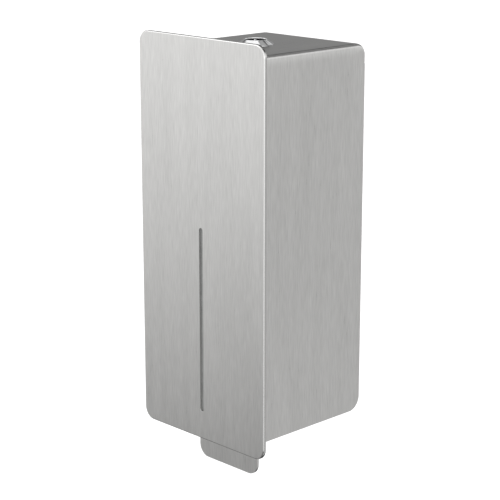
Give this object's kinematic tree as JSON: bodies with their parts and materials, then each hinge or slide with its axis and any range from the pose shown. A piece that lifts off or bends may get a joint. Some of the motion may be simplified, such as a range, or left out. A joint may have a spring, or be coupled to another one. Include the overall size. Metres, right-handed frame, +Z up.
{
  "type": "wall mounted soap dispenser",
  "caption": "Slim brushed steel wall soap dispenser: broad front plate with a level slot, tilting cover with top lock, push tab below, tank and pump inside.",
  "frame": {"origin": "on the wall plane, at the middle of the four wall screws", "axes": "+Z up, +Y into the wall, +X to the right of a person who faces the dispenser"},
  "size_m": [0.1344, 0.1234, 0.3397],
  "materials": {
    "plate_steel": "vertical brushed grain, satin",
    "hood_steel": "vertical brushed grain on the sides, satin",
    "lever_steel": "vertical brushed grain, satin",
    "lock_chrome": "polished",
    "lock_core": "black nickel",
    "zinc_sheet": "zinc plated sheet, dull",
    "zinc_hardware": "bright zinc plate",
    "bright_pin": "turned and ground",
    "phosphated_clip": "black phosphate",
    "spring_steel": "drawn wire",
    "smoked_acrylic": "smoked translucent",
    "tank_plastic": "natural translucent polyethylene",
    "lid_plastic": "fine moulded grain",
    "pump_plastic": "moulded, satin",
    "nylon": "natural nylon",
    "acetal_black": "machined acetal",
    "black_rubber": "moulded rubber",
    "nozzle_silicone": "translucent silicone"
  },
  "bodies": {
    "chassis": {"wall_plate": "zinc_sheet", "top_catch": "zinc_sheet", "catch_screws": "zinc_hardware", "pump_bracket": "zinc_sheet", "bracket_screws": "zinc_hardware", "cover_buffers": "black_rubber", "tank_support": "zinc_sheet", "support_screws": "zinc_hardware", "soap_tank": "tank_plastic", "tank_neck": "tank_plastic", "lid_pin": "bright_pin", "tank_seal": "black_rubber", "pump_nut": "pump_plastic", "pump_body": "pump_plastic", "guide_bush": "acetal_black", "inlet_valve": "black_rubber", "return_spring": "spring_steel", "lever_pin": "bright_pin", "pin_clips": "phosphated_clip"},
    "cover": {"front_plate": "plate_steel", "cover_shell": "hood_steel", "sight_window": "smoked_acrylic", "window_clips": "spring_steel", "plate_studs": "zinc_hardware", "plate_nuts": "zinc_hardware", "hinge_brackets": "zinc_sheet", "hinge_pins": "bright_pin", "hinge_clips": "phosphated_clip", "lock_collar": "lock_chrome", "lock_barrel": "lock_chrome", "lock_nut": "zinc_hardware"},
    "lock": {"lock_plug": "lock_core", "lock_cam": "zinc_hardware", "cam_screw": "zinc_hardware"},
    "lid": {"tank_lid": "lid_plastic"},
    "lever": {"push_lever": "lever_steel", "lever_bushes": "acetal_black", "shoe_pins": "bright_pin", "lift_shoes": "nylon"},
    "plunger": {"plunger": "pump_plastic", "piston_seal": "black_rubber", "nozzle_tip": "nozzle_silicone"}
  },
  "joints": [
    {"name": "cover_hinge", "type": "hinge", "parent": "chassis", "child": "cover", "pos_m": [0, -0.1104, -0.143], "axis": [1, 0, 0], "range_deg": [0, 85]},
    {"name": "lock_turn", "type": "hinge", "parent": "cover", "child": "lock", "pos_m": [0, -0.0664, 0.1447], "axis": [0, 0, -1], "range_deg": [0, 90]},
    {"name": "lid_hinge", "type": "hinge", "parent": "chassis", "child": "lid", "pos_m": [0, -0.0694, 0.0882], "axis": [-1, 0, 0], "range_deg": [0, 80]},
    {"name": "lever_push", "type": "hinge", "parent": "chassis", "child": "lever", "pos_m": [0, -0.0874, -0.125], "axis": [1, 0, 0], "range_deg": [0, 16], "stiffness_Nm_per_rad": 1.5, "springref_deg": -5.73},
    {"name": "plunger_lift", "type": "slide", "parent": "chassis", "child": "plunger", "axis": [0, 0, 1], "range_m": [0, 0.0078], "deforming": ["return_spring"]}
  ],
  "couplings": [
    {"joint": "plunger_lift", "follows": "lever_push", "m_per_rad": 0.02765}
  ]
}
